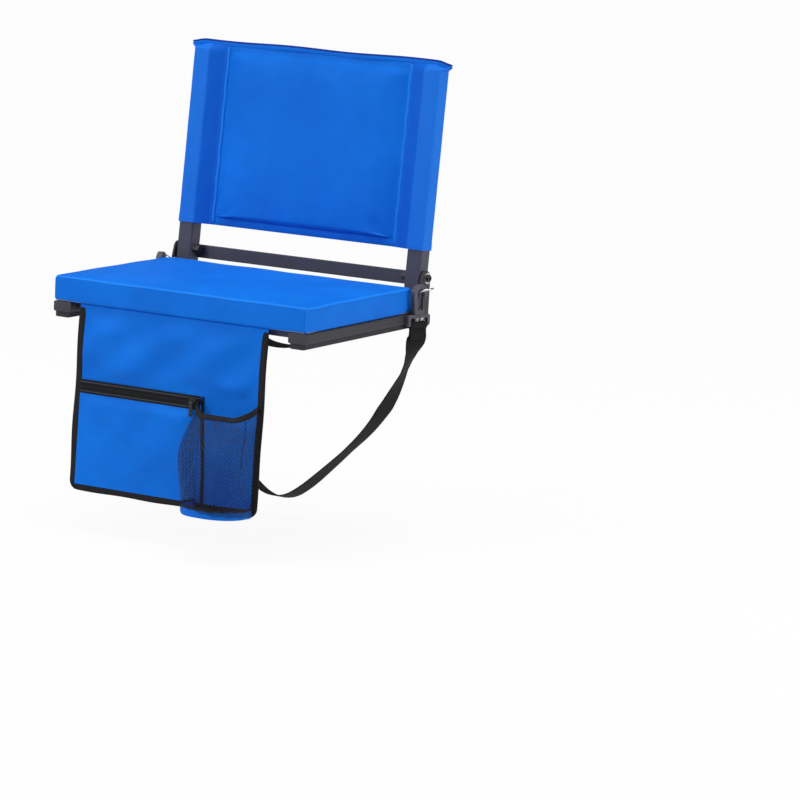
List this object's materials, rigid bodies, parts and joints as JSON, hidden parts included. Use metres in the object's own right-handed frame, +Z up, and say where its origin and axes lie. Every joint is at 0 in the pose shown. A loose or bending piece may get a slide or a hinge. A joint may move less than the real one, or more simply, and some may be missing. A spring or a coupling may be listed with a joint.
{
  "type": "folding stadium seat",
  "caption": "Folding bleacher seat with a padded cushion, a fold-down padded back, a hanging pocket with zip and bottle net, a shoulder strap and a carry handle.",
  "frame": {"origin": "middle of the seat on the bench plane that the runners rest on", "axes": "+Z up, -Y to the front of the seat, +X to the right seen from the front"},
  "size_m": [0.4806, 0.4458, 0.6667],
  "materials": {
    "frame_paint": "satin powder coat",
    "cap_plastic": "moulded",
    "runner_rubber": "ribbed strip",
    "zinc_steel": "zinc plated",
    "dark_steel": "blackened",
    "nylon": "nylon",
    "plywood": "plywood",
    "foam": "open-cell foam",
    "blue_fabric": "coated woven polyester",
    "black_webbing": "flat webbing",
    "black_binding": "sewn tape",
    "black_net": "open net",
    "zip_plastic": "coil",
    "zip_metal": "black lacquer",
    "ring_steel": "bright",
    "hook_plastic": "moulded"
  },
  "bodies": {
    "seat": {"left_side_rail": "frame_paint", "right_side_rail": "frame_paint", "front_cross_rail": "frame_paint", "rear_cross_rail": "frame_paint", "left_hinge_ear": "frame_paint", "right_hinge_ear": "frame_paint", "front_rail_caps": "cap_plastic", "rear_rail_caps": "cap_plastic", "left_runner": "runner_rubber", "right_runner": "runner_rubber", "runner_screws": "zinc_steel", "ear_rivets": "zinc_steel", "pivot_washers": "zinc_steel", "seat_screws": "zinc_steel", "handle_rivets": "zinc_steel", "left_pivot_bolt": "dark_steel", "right_pivot_bolt": "dark_steel", "pivot_nuts": "dark_steel", "pivot_spacers": "nylon", "seat_board": "plywood", "seat_foam": "foam", "seat_cover": "blue_fabric", "pocket_hanger": "blue_fabric", "left_strap_end": "black_webbing", "right_strap_end": "black_webbing", "shoulder_strap": "black_webbing", "carry_handle": "black_webbing", "left_strap_ring": "ring_steel", "right_strap_ring": "ring_steel", "left_swivel_loop": "hook_plastic", "right_swivel_loop": "hook_plastic"},
    "back": {"left_back_post": "frame_paint", "right_back_post": "frame_paint", "lower_cross_bar": "frame_paint", "post_top_caps": "cap_plastic", "post_foot_caps": "cap_plastic", "pivot_bushes": "nylon", "left_post_sleeve": "blue_fabric", "right_post_sleeve": "blue_fabric", "back_front_panel": "blue_fabric", "back_foam": "foam", "back_rear_panel": "blue_fabric", "back_top_hem": "blue_fabric"},
    "pocket": {"pocket_panel": "blue_fabric", "pocket_binding": "black_binding", "zip_pocket_front": "blue_fabric", "zip_tape": "black_binding", "zip_coil": "zip_plastic", "bottle_net": "black_net", "bottle_hem": "black_binding", "bottle_base": "blue_fabric", "bottle_seam_tape": "black_binding"},
    "slider": {"zip_slider": "zip_metal"},
    "pull": {"zip_pull": "zip_metal"},
    "right_hook": {"right_snap_hook": "hook_plastic"},
    "left_hook": {"left_snap_hook": "hook_plastic"},
    "right_gate": {"right_hook_gate": "hook_plastic"},
    "left_gate": {"left_hook_gate": "hook_plastic"}
  },
  "joints": [
    {"name": "back_fold", "type": "hinge", "parent": "seat", "child": "back", "pos_m": [0, 0.181, 0.071], "axis": [1, 0, 0], "range_deg": [0, 90]},
    {"name": "pocket_swing", "type": "hinge", "parent": "seat", "child": "pocket", "pos_m": [0, -0.139, 0.0213], "axis": [-1, 0, 0], "range_deg": [0, 70]},
    {"name": "zip_slide", "type": "slide", "parent": "pocket", "child": "slider", "axis": [-1, 0, 0], "range_m": [0, 0.18]},
    {"name": "zip_pull_swing", "type": "hinge", "parent": "slider", "child": "pull", "pos_m": [0.034, -0.15341, -0.0951], "axis": [-1, 0, 0], "range_deg": [0, 120]},
    {"name": "right_hook_swivel", "type": "hinge", "parent": "seat", "child": "right_hook", "pos_m": [0.22599, 0.147, 0.0527], "axis": [0, 0, 1], "range_deg": [-4, 12]},
    {"name": "right_gate_press", "type": "hinge", "parent": "right_hook", "child": "right_gate", "pos_m": [0.22778, 0.15366, 0.0341], "axis": [0.9659, -0.2588, 0], "range_deg": [0, 25], "stiffness_Nm_per_rad": 0.02},
    {"name": "left_hook_swivel", "type": "hinge", "parent": "seat", "child": "left_hook", "pos_m": [-0.22599, 0.147, 0.0527], "axis": [0, 0, 1], "range_deg": [-12, 4]},
    {"name": "left_gate_press", "type": "hinge", "parent": "left_hook", "child": "left_gate", "pos_m": [-0.22778, 0.15366, 0.0341], "axis": [0.9659, 0.2588, 0], "range_deg": [0, 25], "stiffness_Nm_per_rad": 0.02}
  ]
}
